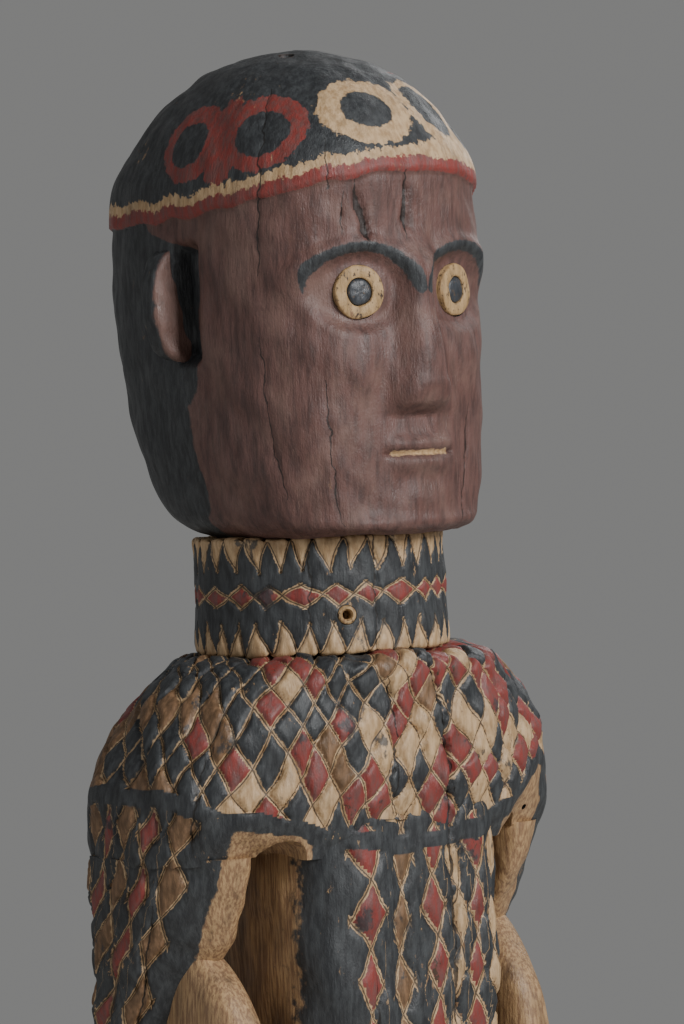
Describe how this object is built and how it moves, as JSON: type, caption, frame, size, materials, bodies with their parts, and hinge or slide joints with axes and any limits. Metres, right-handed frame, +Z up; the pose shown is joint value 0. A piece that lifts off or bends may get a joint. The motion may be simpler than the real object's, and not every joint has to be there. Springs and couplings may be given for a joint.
{
  "type": "carved ancestor figure",
  "caption": "Standing carved and painted wooden ancestor figure with capped head, drum neck, incised shoulder yoke, bent arms, legs and a round base.",
  "frame": {"origin": "centre of the underside of the round base block", "axes": "+Z up, the figure faces -Y, its own right side is at -X"},
  "size_m": [0.28, 0.28, 1.2],
  "materials": {
    "face_painted_wood": "satin",
    "lattice_painted_wood": "satin",
    "limb_wood": "satin",
    "peg_wood": "matte",
    "eye_ring_wood": "matte",
    "eye_plug_wood": "satin"
  },
  "bodies": {
    "root": {"head_block": "face_painted_wood", "right_eye_ring": "eye_ring_wood", "left_eye_ring": "eye_ring_wood", "right_eye_plug": "eye_plug_wood", "left_eye_plug": "eye_plug_wood", "head_peg": "peg_wood", "neck_drum": "lattice_painted_wood", "neck_peg": "peg_wood", "trunk_block": "lattice_painted_wood", "right_arm": "limb_wood", "left_arm": "limb_wood", "right_shoulder_peg": "peg_wood", "left_shoulder_peg": "peg_wood", "right_leg": "limb_wood", "left_leg": "limb_wood", "right_hip_peg": "peg_wood", "left_hip_peg": "peg_wood", "base_block": "lattice_painted_wood", "right_foot_wedge": "peg_wood", "left_foot_wedge": "peg_wood"}
  },
  "joints": []
}
